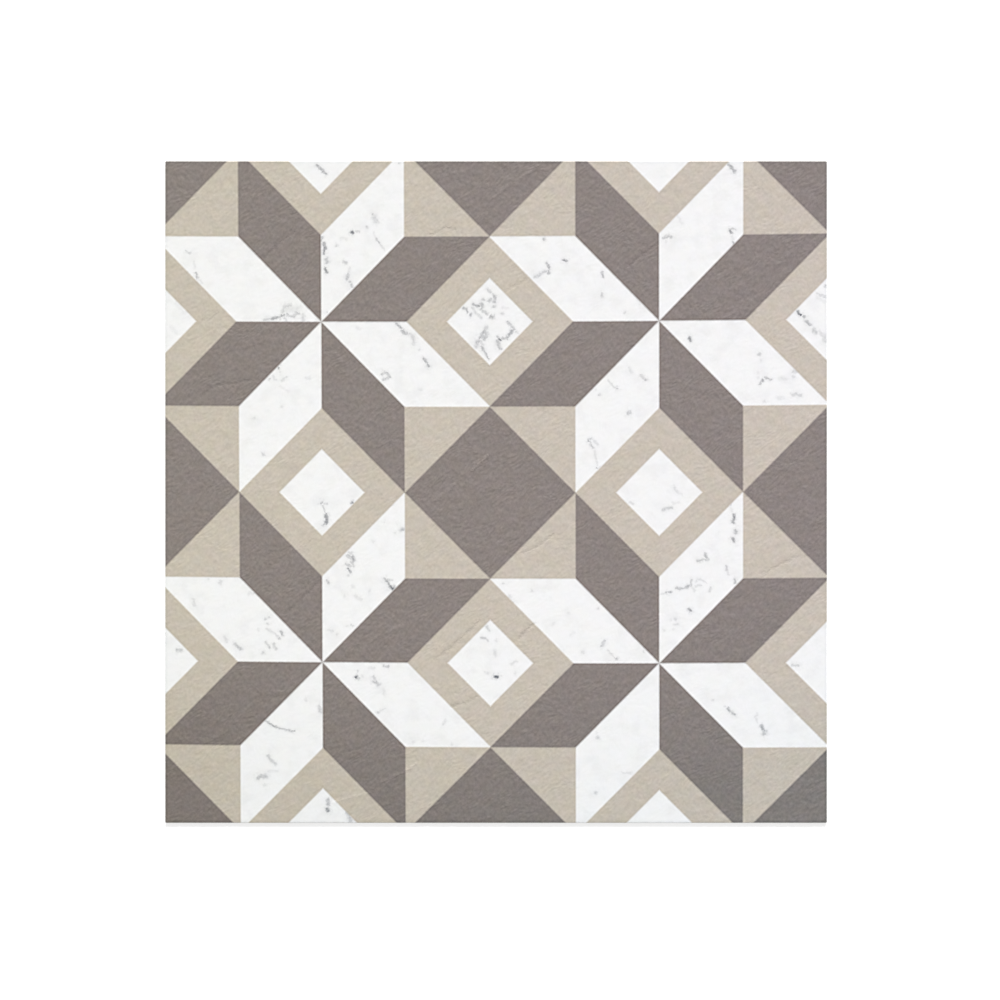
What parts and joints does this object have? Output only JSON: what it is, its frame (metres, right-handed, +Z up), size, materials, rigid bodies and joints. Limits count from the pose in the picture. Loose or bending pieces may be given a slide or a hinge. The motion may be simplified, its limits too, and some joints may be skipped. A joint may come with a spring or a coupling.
{
  "type": "vinyl floor tile",
  "caption": "Square embossed vinyl floor tile, printed with eight-pointed stars and framed diamonds in taupe, beige and white marble.",
  "frame": {"origin": "centre of the underside", "axes": "+Z up out of the printed wear face; +X to the right and +Y to the top of the pattern, along the sides"},
  "size_m": [0.3048, 0.3048, 0.0015],
  "materials": {
    "printed_vinyl": "matte to satin clear wear layer, slate emboss; print of taupe, beige and white marble"
  },
  "bodies": {
    "root": {"vinyl_tile": "printed_vinyl"}
  },
  "joints": []
}
